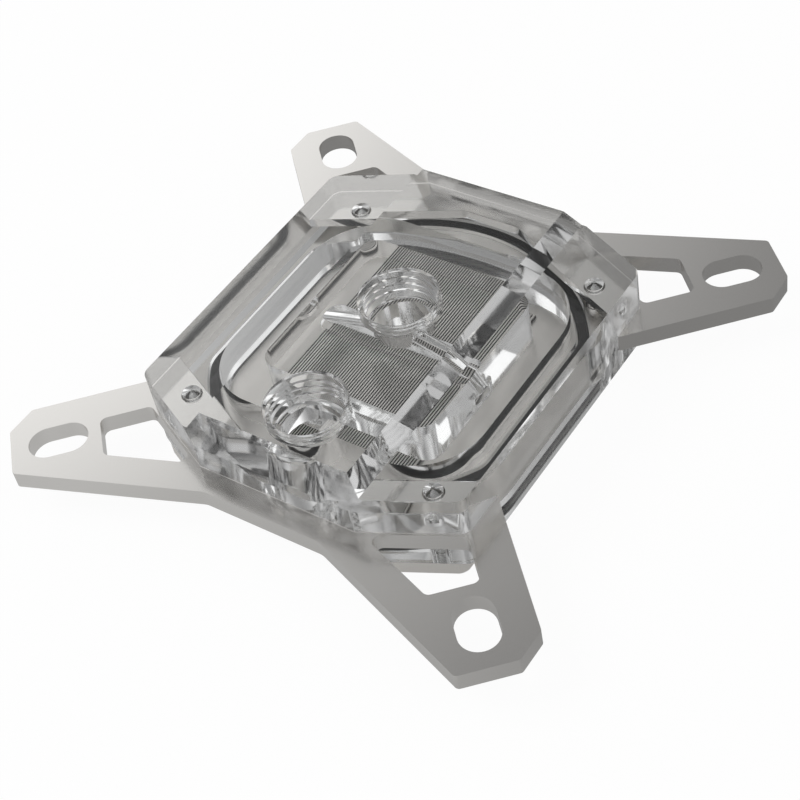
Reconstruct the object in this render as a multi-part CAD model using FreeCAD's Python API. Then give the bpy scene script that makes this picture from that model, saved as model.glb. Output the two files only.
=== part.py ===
import FreeCAD, Part
import math
import os

from FreeCAD import Vector

# A clear-topped water block for a processor. Millimetres, +Z up, with z = 0 on the cold plate's underside.
# X runs across the two ports, Y runs along them: the inlet is near the middle and the outlet is to the south.

# Stack heights
plateHeight = 2.3
finRise = 0.6
finDepth = 2.0
bracketFloor = 6.1
bracketThickness = 3.0
bracketHeadroom = 0.1
shoulderHeight = 16.15
plateauHeight = 19.2

# Outline of the block, which the cold plate and the clear top share
blockHalfX = 29.5
blockHalfY = 33.0
cornerCutX = 14.4
cornerCutY = 26.0
blockCornerRadius = 2.0
blockCutRadius = 0.8

# Raised plateau between the shoulders, and the slanted north and south faces
plateauHalfX = 13.5
plateauFootX = 15.8
plateauHalfY = 30.7
slantFootHeight = 13.7

# G1/4 ports, with the minor diameter as the wall
portMajorRadius = 6.58
portMinorRadius = 5.72
portPitch = 25.0
inletY = 3.0
threadDepth = 5.8
portBoreRadius = 5.0

# Chamber in the underside, its island over the fins and the jet slot through the island
chamberHalfX = 23.6
chamberHalfY = 22.4
chamberRadius = 11.4
chamberCeiling = 10.3
islandHalfX = 15.7
islandHalfY = 15.8
islandShiftY = 1.1
islandRadius = 3.0
jetHalfLength = 14.6
jetHalfWidth = 2.85
jetStep = 1.4
jetRoofHalfWidth = 1.4
jetRoofHeight = 10.1
jetRoofEndHeight = 4.6
jetMouthFlat = 1.14
jetRoofFlat = 0.28
jetRoofEndMargin = 0.2
jetRoofBoreMargin = 0.6
inletBoreFloor = 7.1

# Body O-ring: a circle round the chamber, flattened on its east and west sides
ringRadius = 29.3
ringFlatX = 25.7
ringCornerRadius = 5.0
ringWidth = 1.8
ringHeight = 1.5
ringGrooveWidth = 2.3
ringEdge = 0.4

# Screws that hold the cold plate to the top
screwX = 22.5
screwY = 23.6
screwRadius = 1.5
screwHeadRadius = 2.75
screwHeadHeight = 1.25
screwRecess = 0.2
screwTipHeight = 8.4
screwHoleTop = 9.9
screwTipChamfer = 0.4
drillPointHeight = 0.8
drillPointRadius = 0.3
screwSlack = 0.1
bracketScrewHoleRadius = 1.7
hexKeyRadius = 1.15
hexKeyDepth = 0.9

# Microfins
finHalfSpanX = 13.15
finHalfLength = 20.0
finPitch = 0.47
finGap = 0.25

# Mounting bracket. An arm is drawn along its diagonal: reach outward, side towards the slanted edge.
mountHoleReach = 54.8
mountSlotLength = 9.6
mountSlotWidth = 6.3
mountSlotRoundness = 0.9999
armParallelSide = -8.15
armShoulderReach = 58.6
armTipReach = 62.4
armTipSides = (-4.3, 4.8)
stripHalfX = 10.8
stripOuterY = 36.9
stripInnerY = 29.4
stripInnerHalfX = 5.1
armCornerRadius = 0.8
stripCornerRadius = 3.0
innerCornerRadius = 0.3
armInnerY = 18.0
windowOuterReach = 48.0
windowSides = (-2.3, 5.65)
windowSlope = 0.481
windowWallGap = 0.4
windowRadius = 1.2
slotSideGap = 0.2
slotCornerGap = 0.4
overlap = 1.0
tinyLength = 1e-6


def rounded_wire(points, radii, height):
    """Closed wire through the points, with an arc of the given radius at each corner."""
    count = len(points)
    starts = []
    edges = []
    for index in range(count):
        here = Vector(points[index][0], points[index][1], height)
        before = Vector(points[index - 1][0], points[index - 1][1], height)
        after = Vector(points[(index + 1) % count][0], points[(index + 1) % count][1], height)
        back = (before - here).normalize()
        ahead = (after - here).normalize()
        half_angle = back.getAngle(ahead) / 2
        run = radii[index] / math.tan(half_angle)
        first = here + back * run
        last = here + ahead * run
        inward = (back + ahead).normalize()
        middle = here + inward * (radii[index] / math.sin(half_angle) - radii[index])
        starts.append((first, middle, last))
    for index in range(count):
        first, middle, last = starts[index]
        edges.append(Part.Arc(first, middle, last).toShape())
        following = starts[(index + 1) % count][0]
        if (following - last).Length > tinyLength:
            edges.append(Part.makeLine(last, following))
    return Part.Wire(edges)


def prism(wire, depth):
    return Part.Face(wire).extrude(Vector(0, 0, depth))


def rounded_box(half_x, half_y, radius, bottom, top, shift_y=0.0):
    points = [(half_x, shift_y - half_y), (half_x, shift_y + half_y)]
    points += [(-half_x, shift_y + half_y), (-half_x, shift_y - half_y)]
    return prism(rounded_wire(points, [radius] * 4, bottom), top - bottom)


def cylinder(radius, bottom, top, x=0.0, y=0.0):
    return Part.makeCylinder(radius, top - bottom, Vector(x, y, bottom))


def block_outline(bottom, top):
    quarter = [(blockHalfX, cornerCutY), (cornerCutX, blockHalfY)]
    points = list(quarter)
    points += [(-x, y) for x, y in reversed(quarter)]
    points += [(-x, -y) for x, y in quarter]
    points += [(x, -y) for x, y in reversed(quarter)]
    radii = [blockCornerRadius, blockCutRadius, blockCutRadius, blockCornerRadius] * 2
    return prism(rounded_wire(points, radii, bottom), top - bottom)


def screw_places():
    return [(sign_x * screwX, sign_y * screwY) for sign_x in (-1, 1) for sign_y in (-1, 1)]


def arm_point(reach, side, sign_x):
    """Plan position of an arm point on the south half, sign_x = 1 for the east arm."""
    diagonal = math.sqrt(0.5)
    return sign_x * (reach - side) * diagonal, -(reach + side) * diagonal


def bracket_plan(inner_gap=0.0, corner_gap=0.0):
    """Outline of the south bracket half, anticlockwise from the east end of its inner edge."""
    inner_x = armInnerY - armParallelSide / math.sqrt(0.5)
    east = [(inner_x + corner_gap, -armInnerY + inner_gap)]
    corners = [(armShoulderReach, armParallelSide)]
    corners += [(armTipReach, side) for side in armTipSides]
    outer = [arm_point(reach, side, 1) for reach, side in corners]
    strip = [(stripHalfX, -stripOuterY)]
    half = [(stripInnerHalfX, -stripInnerY + inner_gap)] + east + outer + strip
    points = half + [(-x, y) for x, y in reversed(half)]
    radii = [stripCornerRadius, innerCornerRadius, armCornerRadius, armCornerRadius, armCornerRadius,
             stripCornerRadius]
    return points, radii + radii[::-1]


def bracket_window(sign_x):
    """Trapezoid cut-out of one arm, whose inner edge follows the block's corner cut."""
    cut_run = blockHalfX - cornerCutX
    cut_rise = blockHalfY - cornerCutY
    cut_length = math.hypot(cut_run, cut_rise)
    normal = (cut_rise / cut_length, cut_run / cut_length)
    offset = cornerCutX * normal[0] + blockHalfY * normal[1] + windowWallGap
    diagonal = math.sqrt(0.5)
    reach_part = diagonal * (normal[0] + normal[1])
    side_part = diagonal * (normal[1] - normal[0])
    inner_near = (offset - side_part * windowSides[0]) / reach_part
    slant_start = windowSides[1] + windowOuterReach * windowSlope
    inner_far = (offset - side_part * slant_start) / (reach_part - side_part * windowSlope)
    corners = [(windowOuterReach, windowSides[0]), (windowOuterReach, windowSides[1])]
    corners += [(inner_far, slant_start - windowSlope * inner_far), (inner_near, windowSides[0])]
    points = [arm_point(reach, side, sign_x) for reach, side in corners]
    wire = rounded_wire(points, [windowRadius] * 4, bracketFloor - overlap)
    return prism(wire, bracketThickness + 2 * overlap)


def mounting_slot(sign_x):
    half_run = (mountSlotLength - mountSlotWidth) / 2
    radius = mountSlotWidth / 2
    corners = [(mountHoleReach + half_run + radius, -radius), (mountHoleReach + half_run + radius, radius)]
    corners += [(mountHoleReach - half_run - radius, radius), (mountHoleReach - half_run - radius, -radius)]
    points = [arm_point(reach, side, sign_x) for reach, side in corners]
    wire = rounded_wire(points, [radius * mountSlotRoundness] * 4, bracketFloor - overlap)
    return prism(wire, bracketThickness + 2 * overlap)


def make_bracket():
    points, radii = bracket_plan()
    bracket = prism(rounded_wire(points, radii, bracketFloor), bracketThickness)
    for sign_x in (-1, 1):
        bracket = bracket.cut(bracket_window(sign_x))
        bracket = bracket.cut(mounting_slot(sign_x))
        hole = cylinder(bracketScrewHoleRadius, bracketFloor - overlap,
                        bracketFloor + bracketThickness + overlap, sign_x * screwX, -screwY)
        bracket = bracket.cut(hole)
    return bracket


def bracket_slot():
    """Room in the clear top for one bracket half, a little larger than the bracket inside the block."""
    points, radii = bracket_plan(slotSideGap, slotCornerGap)
    return prism(rounded_wire(points, radii, bracketFloor), bracketThickness + bracketHeadroom)


def ring_wire(offset, height):
    """The O-ring's path moved outward by the offset: two arcs, two flats and a fillet at each junction."""
    radius = ringRadius + offset
    flat = ringFlatX + offset
    corner = ringCornerRadius + offset
    centre_x = flat - corner
    centre_y = math.sqrt((radius - corner) ** 2 - centre_x ** 2)
    angle = math.atan2(centre_y, centre_x)
    edges = []
    for sign_x, sign_y in ((1, 1), (-1, 1), (-1, -1), (1, -1)):
        def place(x, y):
            return Vector(sign_x * x, sign_y * y, height)
        start = place(flat, centre_y)
        middle = place(centre_x + corner * math.cos(angle / 2), centre_y + corner * math.sin(angle / 2))
        end = place(radius * math.cos(angle), radius * math.sin(angle))
        edges.append(Part.Arc(start, middle, end).toShape())
    for sign_y in (1, -1):
        side = Vector(radius * math.cos(angle), sign_y * radius * math.sin(angle), height)
        other = Vector(-side.x, side.y, height)
        edges.append(Part.Arc(side, Vector(0, sign_y * radius, height), other).toShape())
    for sign_x in (1, -1):
        edges.append(Part.makeLine(Vector(sign_x * flat, centre_y, height),
                                   Vector(sign_x * flat, -centre_y, height)))
    return Part.Wire(Part.__sortEdges__(edges))


def ring_solid(width, bottom, height):
    outer = prism(ring_wire(width / 2, bottom), height)
    inner = prism(ring_wire(-width / 2, bottom), height)
    return outer.cut(inner)


def make_o_ring():
    ring = ring_solid(ringWidth, plateHeight, ringHeight)
    edges = [edge for edge in ring.Edges if abs(edge.BoundBox.ZLength) < tinyLength]
    return ring.makeChamfer(ringEdge, edges)


def make_cold_plate():
    plate = block_outline(0, plateHeight)
    finTop = plateHeight + finRise
    platform = Part.makeBox(2 * finHalfSpanX, 2 * finHalfLength, finTop - plateHeight,
                            Vector(-finHalfSpanX, -finHalfLength, plateHeight))
    plate = plate.fuse(platform)
    gaps = []
    count = int(2 * finHalfSpanX / finPitch)
    first = -(count - 1) * finPitch / 2
    for index in range(count):
        centre = first + index * finPitch
        gaps.append(Part.makeBox(finGap, 2 * finHalfLength + 2 * overlap, finDepth + overlap,
                                 Vector(centre - finGap / 2, -finHalfLength - overlap, finTop - finDepth)))
    field = Part.makeBox(2 * finHalfSpanX, 2 * finHalfLength, finDepth,
                         Vector(-finHalfSpanX, -finHalfLength, finTop - finDepth))
    channels = Part.makeCompound([field.common(gap) for gap in gaps])
    plate = plate.cut(channels)
    for x, y in screw_places():
        plate = plate.cut(cylinder(screwRadius + screwSlack, -overlap, plateHeight + overlap, x, y))
        plate = plate.cut(screw_head(x, y))
        plate = plate.cut(cylinder(screwHeadRadius, -overlap, screwRecess, x, y))
    return plate.removeSplitter()


def screw_head(x, y):
    return Part.makeCone(screwHeadRadius, screwRadius, screwHeadHeight, Vector(x, y, screwRecess))


def make_screw(x, y):
    tip_base = screwTipHeight - screwTipChamfer
    shank = cylinder(screwRadius, screwRecess + screwHeadHeight, tip_base, x, y)
    tip = Part.makeCone(screwRadius, screwRadius - screwTipChamfer, screwTipChamfer, Vector(x, y, tip_base))
    screw = screw_head(x, y).fuse([shank, tip])
    points = [(x + hexKeyRadius * math.cos(math.radians(60 * step)),
               y + hexKeyRadius * math.sin(math.radians(60 * step))) for step in range(6)]
    corners = [Vector(px, py, screwRecess - overlap) for px, py in points]
    key = prism(Part.makePolygon(corners + corners[:1]), hexKeyDepth + overlap)
    return screw.cut(key).removeSplitter()


def side_profile(points, axis):
    """Prism of a profile that spans the whole block: points are (across, height) pairs."""
    span = 2 * blockHalfY
    if axis == "y":
        corners = [Vector(across, -span, height) for across, height in points]
        return Part.Face(Part.makePolygon(corners + corners[:1])).extrude(Vector(0, 2 * span, 0))
    corners = [Vector(-span, across, height) for across, height in points]
    return Part.Face(Part.makePolygon(corners + corners[:1])).extrude(Vector(2 * span, 0, 0))


def shoulder_cut(sign):
    above = plateauHeight + overlap
    slope = (plateauFootX - plateauHalfX) / (plateauHeight - shoulderHeight)
    lip = plateauHalfX - slope * overlap
    outside = blockHalfX + overlap
    points = [(lip, above), (plateauFootX, shoulderHeight), (outside, shoulderHeight), (outside, above)]
    return side_profile([(sign * across, height) for across, height in points], "y")


def slant_cut(sign):
    above = plateauHeight + overlap
    slope = (blockHalfY - plateauHalfY) / (plateauHeight - slantFootHeight)
    lip = plateauHalfY - slope * overlap
    foot = blockHalfY + slope * overlap
    points = [(lip, above), (foot, slantFootHeight - overlap), (foot, above)]
    return side_profile([(sign * across, height) for across, height in points], "x")


def port(centre_y, floor):
    thread_end = plateauHeight - threadDepth
    lead = portMajorRadius - portMinorRadius
    threaded = cylinder(portMinorRadius, thread_end, plateauHeight + overlap, 0, centre_y)
    mouth = Part.makeCone(portMinorRadius, portMajorRadius, lead, Vector(0, centre_y, plateauHeight - lead))
    bore = cylinder(portBoreRadius, floor, plateauHeight, 0, centre_y)
    return threaded.fuse([mouth, bore])


def jet_slot():
    """Slot along X under the inlet: a wide mouth at the fins and a narrow roof that slopes to its ends."""
    bottom = plateHeight + finRise
    mouth = rounded_box(jetHalfLength, jetHalfWidth, jetHalfWidth - jetMouthFlat / 2, bottom - overlap,
                        bottom + jetStep, islandShiftY)
    roof_run = jetHalfLength - jetRoofEndMargin
    top_run = portBoreRadius - jetRoofBoreMargin
    points = [(-roof_run, bottom), (roof_run, bottom), (roof_run, jetRoofEndHeight)]
    points += [(top_run, jetRoofHeight), (-top_run, jetRoofHeight), (-roof_run, jetRoofEndHeight)]
    corners = [Vector(across, islandShiftY - jetRoofHalfWidth, height) for across, height in points]
    roof = Part.Face(Part.makePolygon(corners + corners[:1])).extrude(Vector(0, 2 * jetRoofHalfWidth, 0))
    sloped = [edge for edge in roof.Edges if edge.BoundBox.ZLength > 1 and edge.BoundBox.XLength > 1]
    roof = roof.makeFillet(jetRoofHalfWidth - jetRoofFlat / 2, sloped)
    return mouth.fuse(roof)


def make_clear_top():
    top = block_outline(plateHeight, plateauHeight)
    for sign in (-1, 1):
        top = top.cut(shoulder_cut(sign))
        top = top.cut(slant_cut(sign))
    chamber = rounded_box(chamberHalfX, chamberHalfY, chamberRadius, plateHeight - overlap, chamberCeiling)
    island = rounded_box(islandHalfX, islandHalfY, islandRadius, plateHeight + finRise,
                         chamberCeiling + overlap, islandShiftY)
    top = top.cut(chamber.cut(island))
    top = top.cut(jet_slot())
    top = top.cut(port(inletY, inletBoreFloor))
    top = top.cut(port(inletY - portPitch, plateHeight - overlap))
    top = top.cut(ring_solid(ringGrooveWidth, plateHeight - overlap, ringHeight + overlap))
    slot = bracket_slot()
    top = top.cut(slot)
    top = top.cut(slot.mirror(Vector(0, 0, 0), Vector(0, 1, 0)))
    for x, y in screw_places():
        hole = cylinder(screwRadius, plateHeight - overlap, screwHoleTop, x, y)
        end = Part.makeCone(screwRadius, drillPointRadius, drillPointHeight, Vector(x, y, screwHoleTop))
        top = top.cut(hole.fuse(end))
    return top.removeSplitter()


def save(shape, name):
    shape.exportStep("parts/" + name + ".step")
    box = shape.BoundBox
    print(name, "solids", len(shape.Solids), "valid", shape.isValid(), "volume", round(shape.Volume, 1),
          "z", round(box.ZMin, 2), round(box.ZMax, 2))


os.makedirs("parts", exist_ok=True)
save(make_clear_top(), "clear_top")
save(make_cold_plate(), "cold_plate")
save(make_o_ring(), "body_o_ring")
front = make_bracket()
save(front, "front_bracket")
save(front.mirror(Vector(0, 0, 0), Vector(0, 1, 0)), "rear_bracket")
save(Part.makeCompound([make_screw(x, y) for x, y in screw_places()]), "plate_screws")
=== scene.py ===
import math

import bmesh
import bpy
from mathutils import Matrix, Vector


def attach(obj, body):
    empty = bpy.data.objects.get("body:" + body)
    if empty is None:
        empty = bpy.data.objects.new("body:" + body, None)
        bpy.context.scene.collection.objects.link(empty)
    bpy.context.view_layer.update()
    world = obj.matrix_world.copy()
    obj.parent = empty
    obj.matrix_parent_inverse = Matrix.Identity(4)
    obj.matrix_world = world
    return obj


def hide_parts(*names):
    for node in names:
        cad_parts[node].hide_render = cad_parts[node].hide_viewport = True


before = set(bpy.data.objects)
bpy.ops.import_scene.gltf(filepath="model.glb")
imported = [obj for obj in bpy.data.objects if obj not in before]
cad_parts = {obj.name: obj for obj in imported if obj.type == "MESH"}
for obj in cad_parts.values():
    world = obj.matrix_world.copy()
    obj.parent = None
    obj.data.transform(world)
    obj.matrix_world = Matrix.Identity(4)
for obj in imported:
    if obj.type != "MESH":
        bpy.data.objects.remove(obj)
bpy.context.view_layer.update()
print("frame loaded", sorted(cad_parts))

# weld joins vertices that should be one, hair is the slack of a comparison of sizes
mm = 0.001
weld = 0.002 * mm
hair = 0.01 * mm
white = (1, 1, 1, 1)


# shader maths as plain expressions
class Wire:
    def __init__(self, tree, socket):
        self.tree = tree
        self.socket = socket

    def maths(self, operation, other=None, swap=False):
        values = [self.socket] if other is None else [self.socket, other]
        if swap:
            values.reverse()
        return self.tree.add("ShaderNodeMath", {"operation": operation}, dict(enumerate(values)))

    def __add__(self, other): return self.maths("ADD", other)
    def __radd__(self, other): return self.maths("ADD", other, True)
    def __sub__(self, other): return self.maths("SUBTRACT", other)
    def __rsub__(self, other): return self.maths("SUBTRACT", other, True)
    def __mul__(self, other): return self.maths("MULTIPLY", other)
    def __rmul__(self, other): return self.maths("MULTIPLY", other, True)
    def __abs__(self): return self.maths("ABSOLUTE")
    def clip(self): return self.maths("MINIMUM", 1.0).maths("MAXIMUM", 0.0)


class Tree:
    def __init__(self, owner):
        owner.use_nodes = True
        self.nodes = owner.node_tree.nodes
        self.links = owner.node_tree.links
        self.nodes.clear()

    def add(self, kind, settings=None, sockets=None, out=0):
        node = self.nodes.new(kind)
        for name, value in (settings or {}).items():
            if name == "stops":
                ramp = node.color_ramp
                while len(ramp.elements) < len(value):
                    ramp.elements.new(0.5)
                for element, (position, colour) in zip(ramp.elements, value):
                    element.position = position
                    element.color = (*colour, 1.0)
            else:
                setattr(node, name, value)
        for name, value in (sockets or {}).items():
            value = value.socket if isinstance(value, Wire) else value
            if isinstance(value, bpy.types.NodeSocket):
                self.links.new(value, node.inputs[name])
            else:
                node.inputs[name].default_value = value
        return Wire(self, node.outputs[out])

    def output(self, kind, wire):
        node = self.nodes.new(kind)
        self.links.new(wire.socket, node.inputs["Surface"])

    def place(self):
        return self.add("ShaderNodeTexCoord", out="Object")

    def facing(self):
        return self.add("ShaderNodeNewGeometry", out="Normal")

    def axes(self, wire):
        first = self.add("ShaderNodeSeparateXYZ", sockets={"Vector": wire}, out="X")
        node = first.socket.node
        return first, Wire(self, node.outputs["Y"]), Wire(self, node.outputs["Z"])

    def stretched(self, scale):
        return self.add("ShaderNodeMapping", sockets={"Vector": self.place(), "Scale": scale})

    def noise(self, scale, stretch=(1, 1, 1)):
        values = {"Vector": self.stretched(stretch), "Scale": scale, "Detail": 2.0, "Roughness": 0.5}
        return self.add("ShaderNodeTexNoise", sockets=values)

    def mix(self, factor, low, high):
        values = {"Factor": factor, 6: low, 7: high}
        return self.add("ShaderNodeMix", {"data_type": "RGBA"}, values, out=2)

    def bump(self, height, strength, distance):
        values = {"Height": height, "Strength": strength, "Distance": distance}
        return self.add("ShaderNodeBump", sockets=values)


def newMaterial(name):
    material = bpy.data.materials.new(name)
    return material, Tree(material)


# satin nickel of the bracket: fine grain on the faces, upright tool marks on the cut walls
nickelLook = {"base": (0.78, 0.765, 0.74, 1), "worn": (0.83, 0.815, 0.79, 1), "cloud": 45, "cloudShare": 0.8,
              "rough": 0.17, "roughSpread": 0.05, "roughWalls": 0.08, "grain": 2600, "grainDepth": 0.012,
              "marks": 900, "marksDepth": 0.10, "along": (1, 1, 0.02), "bump": 0.6, "bumpDepth": 0.2 * mm}


def satinNickel():
    material, tree = newMaterial("satinNickel")
    look = nickelLook
    cloud = tree.noise(look["cloud"])
    grain = tree.noise(look["grain"])
    marks = tree.noise(look["marks"], look["along"])
    upright = 1 - abs(tree.axes(tree.facing())[2])
    relief = grain * look["grainDepth"] + marks * upright * look["marksDepth"]
    wear = cloud * look["cloudShare"] + grain * (1 - look["cloudShare"])
    colour = tree.mix(wear, look["base"], look["worn"])
    rough = look["rough"] + (cloud - 0.5) * look["roughSpread"] + upright * look["roughWalls"]
    shader = tree.add("ShaderNodeBsdfPrincipled", sockets={
        "Base Color": colour, "Metallic": 1.0, "Roughness": rough.clip(),
        "Normal": tree.bump(relief, look["bump"], look["bumpDepth"])})
    tree.output("ShaderNodeOutputMaterial", shader)
    return material


# plated copper of the cold plate: milled along X, with painted shade that darkens the gaps between the fins.
# edge is how sharply a limit of the painted shade field cuts in.
plateLook = {"base": (0.89, 0.865, 0.825, 1), "worn": (0.93, 0.905, 0.865, 1), "metal": 0.75, "cloud": 60,
             "marks": 900, "along": (0.03, 1, 1), "rough": 0.30, "roughMarks": 0.06, "roughGap": 0.25,
             "bump": 0.05, "bumpDepth": 0.05 * mm, "gap": (0.024, 0.018, 0.013, 1), "gapTop": 2.88 * mm,
             "gapFade": 0.12 * mm, "gapFloor": 0.8 * mm, "fieldX": 13.2 * mm, "fieldY": 20.05 * mm,
             "edge": 1e5}


def platedCopper():
    material, tree = newMaterial("platedCopper")
    look = plateLook
    cloud = tree.noise(look["cloud"])
    marks = tree.noise(look["marks"], look["along"])
    along, across, height = tree.axes(tree.place())
    field = ((look["fieldX"] - abs(along)) * look["edge"]).clip()
    field = field * ((look["fieldY"] - abs(across)) * look["edge"]).clip()
    field = field * ((height - look["gapFloor"]) * look["edge"]).clip()
    # painted shade: inside the fin field the colour goes near-black below the fin tops, where shade falls
    # between the fins
    gap = ((look["gapTop"] - height) * (1 / look["gapFade"])).clip() * field
    colour = tree.mix(gap, tree.mix(cloud, look["base"], look["worn"]), look["gap"])
    rough = look["rough"] + marks * look["roughMarks"] + gap * look["roughGap"]
    shader = tree.add("ShaderNodeBsdfPrincipled", sockets={
        "Base Color": colour, "Metallic": look["metal"], "Roughness": rough.clip(),
        "Normal": tree.bump(marks, look["bump"], look["bumpDepth"])})
    tree.output("ShaderNodeOutputMaterial", shader)
    return material


# clear acrylic: polished top faces, milled walls and chamber that scatter a little. skin is the height under
# which level faces are milled, sideX where the outer sides begin.
acrylicLook = {"tint": (0.985, 0.99, 0.99, 1), "haze": 120, "hazeShare": 0.5, "ior": 1.49, "walls": 0.085,
               "sides": 0.03, "inside": 0.03, "flat": 0.75, "flatRun": 0.25, "skin": 12.0 * mm,
               "sideX": 29.3 * mm, "edge": 1e4}


def clearAcrylic():
    material, tree = newMaterial("clearAcrylic")
    look = acrylicLook
    haze = tree.noise(look["haze"])
    colour = tree.mix(haze * look["hazeShare"], look["tint"], white)
    steep = ((look["flat"] - abs(tree.axes(tree.facing())[2])) * (1 / look["flatRun"])).clip()
    along, across, height = tree.axes(tree.place())
    deep = ((look["skin"] - height) * look["edge"]).clip()
    outer = ((abs(along) - look["sideX"]) * look["edge"]).clip()
    rough = steep * (look["walls"] + outer * look["sides"]) + (1 - steep) * deep * look["inside"]
    shader = tree.add("ShaderNodeBsdfPrincipled", sockets={
        "Base Color": colour, "Roughness": rough, "IOR": look["ior"], "Transmission Weight": 1.0})
    tree.output("ShaderNodeOutputMaterial", shader)
    return material


# black rubber of the O-ring
rubberLook = {"base": (0.003, 0.003, 0.003, 1), "worn": (0.007, 0.007, 0.007, 1), "speckle": 1800,
              "shine": 0.2, "rough": 0.5, "roughSpread": 0.15, "bump": 0.2, "bumpDepth": 0.03 * mm}


def blackRubber():
    material, tree = newMaterial("blackRubber")
    look = rubberLook
    speckle = tree.noise(look["speckle"])
    shader = tree.add("ShaderNodeBsdfPrincipled", sockets={
        "Base Color": tree.mix(speckle, look["base"], look["worn"]), "Specular IOR Level": look["shine"],
        "Roughness": (look["rough"] + speckle * look["roughSpread"]).clip(),
        "Normal": tree.bump(speckle, look["bump"], look["bumpDepth"])})
    tree.output("ShaderNodeOutputMaterial", shader)
    return material


# plain steel of the screws
steelLook = {"base": (0.50, 0.50, 0.50, 1), "worn": (0.62, 0.62, 0.61, 1), "marks": 1500, "rough": 0.22,
             "roughSpread": 0.12, "bump": 0.15, "bumpDepth": 0.03 * mm}


def screwSteel():
    material, tree = newMaterial("screwSteel")
    look = steelLook
    marks = tree.noise(look["marks"])
    shader = tree.add("ShaderNodeBsdfPrincipled", sockets={
        "Base Color": tree.mix(marks, look["base"], look["worn"]), "Metallic": 1.0,
        "Roughness": (look["rough"] + marks * look["roughSpread"]).clip(),
        "Normal": tree.bump(marks, look["bump"], look["bumpDepth"])})
    tree.output("ShaderNodeOutputMaterial", shader)
    return material


def paint(piece, material):
    piece.data.materials.clear()
    piece.data.materials.append(material)


def only(piece):
    if bpy.context.object and bpy.context.object.mode != "OBJECT":
        bpy.ops.object.mode_set(mode="OBJECT")
    bpy.ops.object.select_all(action="DESELECT")
    piece.select_set(True)
    bpy.context.view_layer.objects.active = piece


def mergedCopy(node, name):
    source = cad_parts[node]
    piece = bpy.data.objects.new(name, source.data.copy())
    bpy.context.scene.collection.objects.link(piece)
    only(piece)
    bpy.ops.object.mode_set(mode="EDIT")
    bpy.ops.mesh.select_all(action="SELECT")
    bpy.ops.mesh.remove_doubles(threshold=weld)
    bpy.ops.object.mode_set(mode="OBJECT")
    if piece.data.has_custom_normals:
        bpy.ops.mesh.customdata_custom_splitnormals_clear()
    return piece


def flatten(piece, angle):
    only(piece)
    bpy.ops.object.mode_set(mode="EDIT")
    bpy.ops.mesh.select_all(action="SELECT")
    bpy.ops.mesh.dissolve_limited(angle_limit=math.radians(angle), use_dissolve_boundaries=False)
    bpy.ops.object.mode_set(mode="OBJECT")


def bevelled(piece, width, angle):
    only(piece)
    bevel = piece.modifiers.new("edges", "BEVEL")
    bevel.width = width
    bevel.segments = 2
    bevel.limit_method = "ANGLE"
    bevel.angle_limit = math.radians(angle)
    bpy.ops.object.modifier_apply(modifier="edges")


def smooth(piece, angle):
    only(piece)
    bpy.ops.object.shade_smooth_by_angle(angle=math.radians(angle))
    weighted = piece.modifiers.new("flatFaces", "WEIGHTED_NORMAL")
    weighted.mode = "FACE_AREA"
    weighted.weight = 100
    weighted.keep_sharp = True
    bpy.ops.object.modifier_apply(modifier="flatFaces")


def openEdges(piece):
    check = bmesh.new()
    check.from_mesh(piece.data)
    count = sum(1 for edge in check.edges if not edge.is_manifold)
    check.free()
    return count


def stand(piece, node, material):
    paint(piece, material)
    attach(piece, "root")
    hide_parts(node)
    print("piece", piece.name, "faces", len(piece.data.polygons))


# brackets with their edges broken, as plating leaves them
bracketEdges = {"width": 0.18 * mm, "angle": 40, "flatAngle": 0.4, "smoothAngle": 35}


def makeBracket(node, name, material):
    piece = mergedCopy(node, name)
    flatten(piece, bracketEdges["flatAngle"])
    bevelled(piece, bracketEdges["width"], bracketEdges["angle"])
    smooth(piece, bracketEdges["smoothAngle"])
    stand(piece, node, material)


# G1/4 threads cut in the two ports: one strip wound along the helix takes the place of each plain wall.
# It starts below the wall and runs past its top (start and spare, in turns), and what lies outside the wall
# is pressed onto the end rings.
thread = {"major": 6.58 * mm, "minor": 5.72 * mm, "pitch": 1.337 * mm, "top": 19.2 * mm, "bottom": 13.4 * mm,
          "around": 96, "depths": (0.0, 0.0, 0.33, 0.67, 1.0, 1.0, 0.67, 0.33), "start": 1.05, "spare": 1.2,
          "fadeTurns": 0.5, "seam": 0.001 * mm, "upright": 0.95, "reach": 0.5 * mm,
          "ports": (3.0 * mm, -22.0 * mm)}


def threadRadius(step, height):
    depth = thread["major"] - thread["minor"]
    fade = min(max((height - thread["bottom"]) / (thread["fadeTurns"] * thread["pitch"]), 0.0), 1.0)
    radius = thread["minor"] + depth * thread["depths"][step % len(thread["depths"])] * fade
    mouth = thread["major"] - max(thread["top"] - height, 0.0)
    return max(radius, mouth)


def portWall(centreY):
    bpy.ops.object.select_all(action="DESELECT")
    rows = len(thread["depths"])
    turns = (thread["top"] - thread["bottom"]) / thread["pitch"] + thread["spare"]
    length = math.ceil(turns * thread["around"])
    bpy.ops.mesh.primitive_grid_add(x_subdivisions=length, y_subdivisions=rows, size=1)
    wall = bpy.context.object
    for vertex in wall.data.vertices:
        along = round((vertex.co.x + 0.5) * length) / thread["around"]
        step = round((vertex.co.y + 0.5) * rows)
        height = thread["bottom"] + (along + step / rows - thread["start"]) * thread["pitch"]
        height = min(max(height, thread["bottom"]), thread["top"])
        radius = threadRadius(step, height)
        angle = 2 * math.pi * along
        vertex.co = (radius * math.cos(angle), centreY + radius * math.sin(angle), height)
    only(wall)
    bpy.ops.object.mode_set(mode="EDIT")
    bpy.ops.mesh.select_all(action="SELECT")
    bpy.ops.mesh.remove_doubles(threshold=thread["seam"])
    bpy.ops.mesh.select_all(action="SELECT")
    bpy.ops.mesh.flip_normals()
    bpy.ops.object.mode_set(mode="OBJECT")
    return wall


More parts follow.
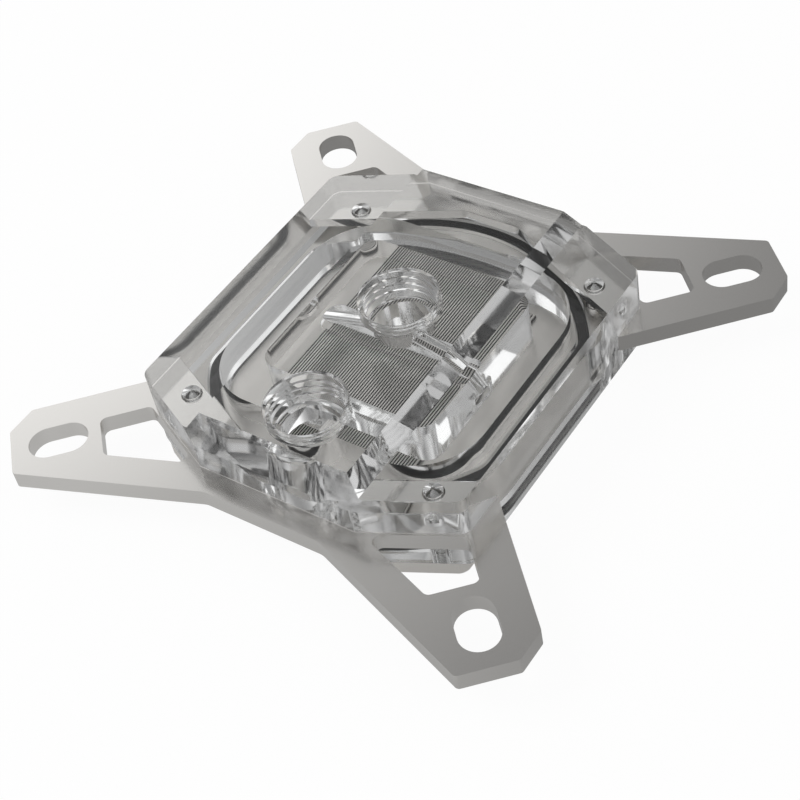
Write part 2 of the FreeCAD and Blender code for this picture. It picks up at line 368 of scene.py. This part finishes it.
def openPort(piece, centreY):
    only(piece)
    bpy.ops.object.mode_set(mode="EDIT")
    bpy.ops.mesh.select_mode(type="FACE")
    bpy.ops.mesh.select_all(action="DESELECT")
    mesh = bmesh.from_edit_mesh(piece.data)
    low, high = thread["bottom"] - hair, thread["top"] + hair
    for face in mesh.faces:
        reach = [math.hypot(vertex.co.x, vertex.co.y - centreY) for vertex in face.verts]
        heights = [vertex.co.z for vertex in face.verts]
        inside = thread["minor"] - hair < min(reach) and max(reach) < thread["major"] + hair
        between = min(heights) > low and max(heights) < high
        face.select_set(inside and between and abs(face.normal.z) < thread["upright"])
    bmesh.update_edit_mesh(piece.data)
    bpy.ops.mesh.delete(type="FACE")
    bpy.ops.object.mode_set(mode="OBJECT")


def closePort(piece, centreY, level):
    only(piece)
    bpy.ops.object.mode_set(mode="EDIT")
    bpy.ops.mesh.select_mode(type="EDGE")
    bpy.ops.mesh.select_all(action="DESELECT")
    mesh = bmesh.from_edit_mesh(piece.data)
    for edge in mesh.edges:
        near = all(math.hypot(vertex.co.x, vertex.co.y - centreY) < thread["major"] + thread["reach"]
                   for vertex in edge.verts)
        flat = all(abs(vertex.co.z - level) < 2 * hair for vertex in edge.verts)
        edge.select_set(edge.is_boundary and near and flat)
    bmesh.update_edit_mesh(piece.data)
    bpy.ops.mesh.bridge_edge_loops()
    bpy.ops.object.mode_set(mode="OBJECT")


# the clear top: threaded, its edges just broken, and held clear of what it touches by a hair of air
topFit = {"air": 0.02 * mm, "levels": (2.3 * mm, 2.9 * mm, 3.8 * mm), "slotFloor": 6.1 * mm,
          "edge": 0.10 * mm, "edgeAngle": 25, "edgeFloor": 13.0 * mm, "portClear": 0.4 * mm, "flatAngle": 0.3,
          "smoothAngle": 30}


def airGap(piece):
    for vertex in piece.data.vertices:
        for level in topFit["levels"]:
            if abs(vertex.co.z - level) < weld:
                vertex.co.z += topFit["air"]
                break
        if abs(vertex.co.z - topFit["slotFloor"]) < weld:
            vertex.co.z -= topFit["air"]


def bevelTop(piece):
    only(piece)
    bpy.ops.object.mode_set(mode="EDIT")
    bpy.ops.mesh.select_mode(type="EDGE")
    bpy.ops.mesh.select_all(action="DESELECT")
    mesh = bmesh.from_edit_mesh(piece.data)
    for edge in mesh.edges:
        if len(edge.link_faces) == 2 and edge.calc_face_angle_signed(0) > math.radians(topFit["edgeAngle"]):
            high = min(vertex.co.z for vertex in edge.verts) > topFit["edgeFloor"]
            clear = all(math.hypot(vertex.co.x, vertex.co.y - centreY) > thread["major"] + topFit["portClear"]
                        for vertex in edge.verts for centreY in thread["ports"])
            edge.select_set(high and clear)
    bmesh.update_edit_mesh(piece.data)
    bpy.ops.mesh.bevel(offset=topFit["edge"], segments=1, affect="EDGES", clamp_overlap=True)
    bpy.ops.object.mode_set(mode="OBJECT")


def makeClearTop(material):
    piece = mergedCopy("clear_top", "clearTop")
    airGap(piece)
    flatten(piece, topFit["flatAngle"])
    for centreY in thread["ports"]:
        openPort(piece, centreY)
    bevelTop(piece)
    for centreY in thread["ports"]:
        wall = portWall(centreY)
        only(piece)
        wall.select_set(True)
        bpy.ops.object.join()
        closePort(piece, centreY, thread["bottom"])
        closePort(piece, centreY, thread["top"])
    bpy.ops.object.mode_set(mode="EDIT")
    bpy.ops.mesh.select_all(action="SELECT")
    bpy.ops.mesh.normals_make_consistent(inside=False)
    bpy.ops.object.mode_set(mode="OBJECT")
    smooth(piece, topFit["smoothAngle"])
    stand(piece, "clear_top", material)
    print("clear top open edges", openEdges(piece))


# the cold plate stands back from the top on its east and west sides, with its new corners rounded
plateFit = {"halfX": 28.2 * mm, "cornerRun": 1.2 * mm, "cornerSteps": 8, "tall": 2.0 * mm, "flatAngle": 0.3,
            "smoothAngle": 25}


def makeColdPlate(material):
    piece = mergedCopy("cold_plate", "coldPlate")
    flatten(piece, plateFit["flatAngle"])
    bpy.ops.object.mode_set(mode="EDIT")
    for side in (-1, 1):
        bpy.ops.mesh.select_all(action="SELECT")
        bpy.ops.mesh.bisect(plane_co=(side * plateFit["halfX"], 0, 0), plane_no=(side, 0, 0),
                            use_fill=True, clear_outer=True)
    bpy.ops.mesh.select_mode(type="EDGE")
    bpy.ops.mesh.select_all(action="DESELECT")
    mesh = bmesh.from_edit_mesh(piece.data)
    for edge in mesh.edges:
        low, high = edge.verts
        upright = abs(low.co.z - high.co.z) > plateFit["tall"]
        edge.select_set(upright and abs(abs(low.co.x) - plateFit["halfX"]) < hair)
    bmesh.update_edit_mesh(piece.data)
    bpy.ops.mesh.bevel(offset=plateFit["cornerRun"], segments=plateFit["cornerSteps"], affect="EDGES")
    bpy.ops.object.mode_set(mode="OBJECT")
    smooth(piece, plateFit["smoothAngle"])
    stand(piece, "cold_plate", material)
    print("cold plate open edges", openEdges(piece))


# countersunk screws with rolled threads
screw = {"x": 22.5 * mm, "y": 23.6 * mm, "crest": 1.44 * mm, "root": 1.2 * mm, "pitch": 0.5 * mm,
         "head": 2.7 * mm, "seat": 0.2 * mm, "neck": 1.45 * mm, "tip": 8.4 * mm, "key": 1.15 * mm,
         "keyDepth": 0.9 * mm, "around": 24, "rows": 4, "taperRun": 0.5 * mm, "taper": 0.8,
         "wallSlack": 0.05 * mm, "down": -0.9, "smoothAngle": 35}


def makeScrew(index, x, y, material):
    bpy.ops.object.select_all(action="DESELECT")
    rings = int((screw["tip"] - screw["neck"]) / screw["pitch"] * screw["rows"])
    tall = screw["tip"] - screw["neck"]
    bpy.ops.mesh.primitive_cylinder_add(vertices=screw["around"], radius=screw["root"], depth=tall,
                                        location=(x, y, screw["neck"] + tall / 2))
    piece = bpy.context.object
    piece.name = "plateScrew" + str(index)
    bpy.ops.object.transform_apply(location=True, rotation=True, scale=True)
    bpy.ops.object.mode_set(mode="EDIT")
    bpy.ops.mesh.select_mode(type="EDGE")
    bpy.ops.mesh.select_all(action="DESELECT")
    mesh = bmesh.from_edit_mesh(piece.data)
    for edge in mesh.edges:
        low, high = edge.verts
        edge.select_set(abs(low.co.z - high.co.z) > tall / 2)
    bmesh.update_edit_mesh(piece.data)
    bpy.ops.mesh.subdivide(number_cuts=rings - 1, quadcorner="STRAIGHT_CUT")
    bpy.ops.mesh.select_mode(type="FACE")
    bpy.ops.mesh.select_all(action="DESELECT")
    mesh = bmesh.from_edit_mesh(piece.data)
    for face in mesh.faces:
        face.select_set(face.normal.z < screw["down"])
    bmesh.update_edit_mesh(piece.data)
    bpy.ops.mesh.extrude_region_move(TRANSFORM_OT_translate={"value": (0, 0, screw["seat"] - screw["neck"])})
    swell = screw["head"] / screw["root"]
    bpy.ops.transform.resize(value=(swell, swell, 1), center_override=(x, y, 0))
    bpy.ops.mesh.inset(thickness=screw["head"] - screw["key"])
    bpy.ops.mesh.extrude_region_move(TRANSFORM_OT_translate={"value": (0, 0, screw["keyDepth"])})
    bpy.ops.object.mode_set(mode="OBJECT")
    for vertex in piece.data.vertices:
        dx, dy, z = vertex.co.x - x, vertex.co.y - y, vertex.co.z
        reach = math.hypot(dx, dy)
        if z > screw["neck"] + hair and abs(reach - screw["root"]) < screw["wallSlack"]:
            phase = (z / screw["pitch"] - math.atan2(dy, dx) / (2 * math.pi)) % 1.0
            radius = screw["root"] + (screw["crest"] - screw["root"]) * (1 - abs(phase - 0.5) * 2)
            radius -= max(0.0, z - screw["tip"] + screw["taperRun"]) * screw["taper"]
            vertex.co.x = x + dx / reach * radius
            vertex.co.y = y + dy / reach * radius
    smooth(piece, screw["smoothAngle"])
    stand(piece, "plate_screws", material)


# studio: white to the camera, while the satin faces mirror a room whose light changes along one direction.
# The floor glows for glossy rays as a painted reflection, dim in the north-east and bright in the south-west,
# and through the clear top it shows a painted grey shade.
studio = {"floorSize": 3.0, "floorDrop": 0.05 * mm, "floorColour": (0.93, 0.93, 0.93, 1), "whiteShare": 0.95,
          "floorGlow": (0.25, 0.58), "glowWay": (-0.35, -0.65), "glowRun": (-8 * mm, 44 * mm),
          "floorThrough": (0.66, 0.66, 0.70, 1), "skyLight": 1.0, "sweep": (-0.8186, 0.4568, 0.3467),
          "sweepStops": ((-1.0, 0.62), (-0.2, 0.68), (0.4, 0.48), (0.70, 0.24), (0.797, 0.26), (0.825, 0.375),
                         (0.865, 0.48), (0.89, 0.65), (0.91, 0.84), (0.925, 1.05), (1.0, 1.20)),
          "keyPower": 3.0, "keySize": 0.5, "keyPlace": (-0.5, -0.3, 0.7),
          "fillPower": 1.2, "fillSize": 0.6, "fillPlace": (0.7, 0.1, 0.5)}


def makeFloor():
    bpy.ops.object.select_all(action="DESELECT")
    bpy.ops.mesh.primitive_plane_add(size=studio["floorSize"], location=(0, 0, -studio["floorDrop"]))
    floor = bpy.context.object
    floor.name = "studioFloor"
    material, tree = newMaterial("paleFloor")
    path = tree.add("ShaderNodeLightPath", out="Is Camera Ray")
    node = path.socket.node
    glossy = Wire(tree, node.outputs["Is Glossy Ray"])
    through = Wire(tree, node.outputs["Is Transmission Ray"])
    plain = tree.add("ShaderNodeBsdfDiffuse", sockets={"Color": studio["floorColour"]})
    paper = tree.add("ShaderNodeEmission", sockets={"Color": white, "Strength": 1.0})
    # painted reflection: for glossy rays the floor glows, dim to lit along glowWay
    along, across, height = tree.axes(tree.place())
    wayX, wayY = studio["glowWay"]
    low, high = studio["glowRun"]
    sweep = ((along * wayX + across * wayY - low) * (1 / (high - low))).clip()
    dim, lit = [tree.add("ShaderNodeEmission", sockets={"Color": white, "Strength": level})
                for level in studio["floorGlow"]]
    mirrored = tree.add("ShaderNodeMixShader", sockets={0: sweep, 1: dim, 2: lit})
    # painted shade: rays through the clear top see the floor as a flat grey glow
    shaded = tree.add("ShaderNodeEmission", sockets={"Color": studio["floorThrough"], "Strength": 1.0})
    bright = tree.add("ShaderNodeMixShader", sockets={0: path * studio["whiteShare"], 1: plain, 2: paper})
    dimmed = tree.add("ShaderNodeMixShader", sockets={0: through, 1: bright, 2: shaded})
    mixed = tree.add("ShaderNodeMixShader", sockets={0: glossy, 1: dimmed, 2: mirrored})
    tree.output("ShaderNodeOutputMaterial", mixed)
    paint(floor, material)


def makeWorld():
    world = bpy.data.worlds.new("studioRoom")
    bpy.context.scene.world = world
    tree = Tree(world)
    direction = tree.add("ShaderNodeTexCoord", out="Generated")
    along = tree.add("ShaderNodeVectorMath", {"operation": "DOT_PRODUCT"},
                     {0: direction, 1: studio["sweep"]}, out="Value")
    low, high = studio["sweepStops"][0][0], studio["sweepStops"][-1][0]
    stops = [((t - low) / (high - low), (level, level, level)) for t, level in studio["sweepStops"]]
    shade = tree.add("ShaderNodeValToRGB", {"stops": stops}, {"Fac": (along - low) * (1 / (high - low))})
    path = tree.add("ShaderNodeLightPath", out="Is Camera Ray")
    room = tree.add("ShaderNodeBackground", sockets={"Color": shade, "Strength": studio["skyLight"]})
    paper = tree.add("ShaderNodeBackground", sockets={"Color": white, "Strength": 1.0})
    mixed = tree.add("ShaderNodeMixShader", sockets={0: path, 1: room, 2: paper})
    tree.output("ShaderNodeOutputWorld", mixed)


def softBox(name, place, size, power):
    bpy.ops.object.select_all(action="DESELECT")
    bpy.ops.object.light_add(type="AREA", location=place)
    lamp = bpy.context.object
    lamp.name = name
    lamp.data.shape = "SQUARE"
    lamp.data.size = size
    lamp.data.energy = power
    lamp.visible_glossy = False
    lamp.visible_transmission = False
    lamp.rotation_mode = "QUATERNION"
    lamp.rotation_quaternion = (-Vector(place)).to_track_quat("-Z", "Y")


# the photograph's view, worked out from the bracket's corners and the rims of the ports
cameraView = {"place": (133.93 * mm, -148.95 * mm, 201.33 * mm), "forward": (-0.47348, 0.52062, -0.71047),
              "roll": 12.2, "lens": 79.226, "sensor": 36, "clip": (0.01, 20)}


def makeCamera():
    data = bpy.data.cameras.new("photoCamera")
    camera = bpy.data.objects.new("photoCamera", data)
    bpy.context.scene.collection.objects.link(camera)
    forward = Vector(cameraView["forward"]).normalized()
    turn = forward.to_track_quat("-Z", "Y").to_matrix()
    roll = Matrix.Rotation(math.radians(-cameraView["roll"]), 3, "Z")
    camera.rotation_mode = "QUATERNION"
    camera.rotation_quaternion = (turn @ roll).to_quaternion()
    camera.location = cameraView["place"]
    data.lens = cameraView["lens"]
    data.sensor_width = cameraView["sensor"]
    data.clip_start, data.clip_end = cameraView["clip"]
    bpy.context.scene.camera = camera


# light crosses many walls inside the clear top before it leaves it
bounces = {"all": 28, "glossy": 14}


def setRender():
    scene = bpy.context.scene
    scene.view_settings.view_transform = "Standard"
    scene.cycles.max_bounces = bounces["all"]
    scene.cycles.transmission_bounces = bounces["all"]
    scene.cycles.glossy_bounces = bounces["glossy"]


setRender()
makeCamera()
makeFloor()
makeWorld()
softBox("keySoftBox", studio["keyPlace"], studio["keySize"], studio["keyPower"])
softBox("fillSoftBox", studio["fillPlace"], studio["fillSize"], studio["fillPower"])
print("studio ready")

nickel = satinNickel()
copper = platedCopper()
acrylic = clearAcrylic()
rubber = blackRubber()
steel = screwSteel()

makeBracket("front_bracket", "frontBracket", nickel)
makeBracket("rear_bracket", "rearBracket", nickel)
makeClearTop(acrylic)
makeColdPlate(copper)
paint(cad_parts["body_o_ring"], rubber)
places = [(signX * screw["x"], signY * screw["y"]) for signX in (-1, 1) for signY in (-1, 1)]
for index, (x, y) in enumerate(places):
    makeScrew(index, x, y, steel)
print("pieces ready")
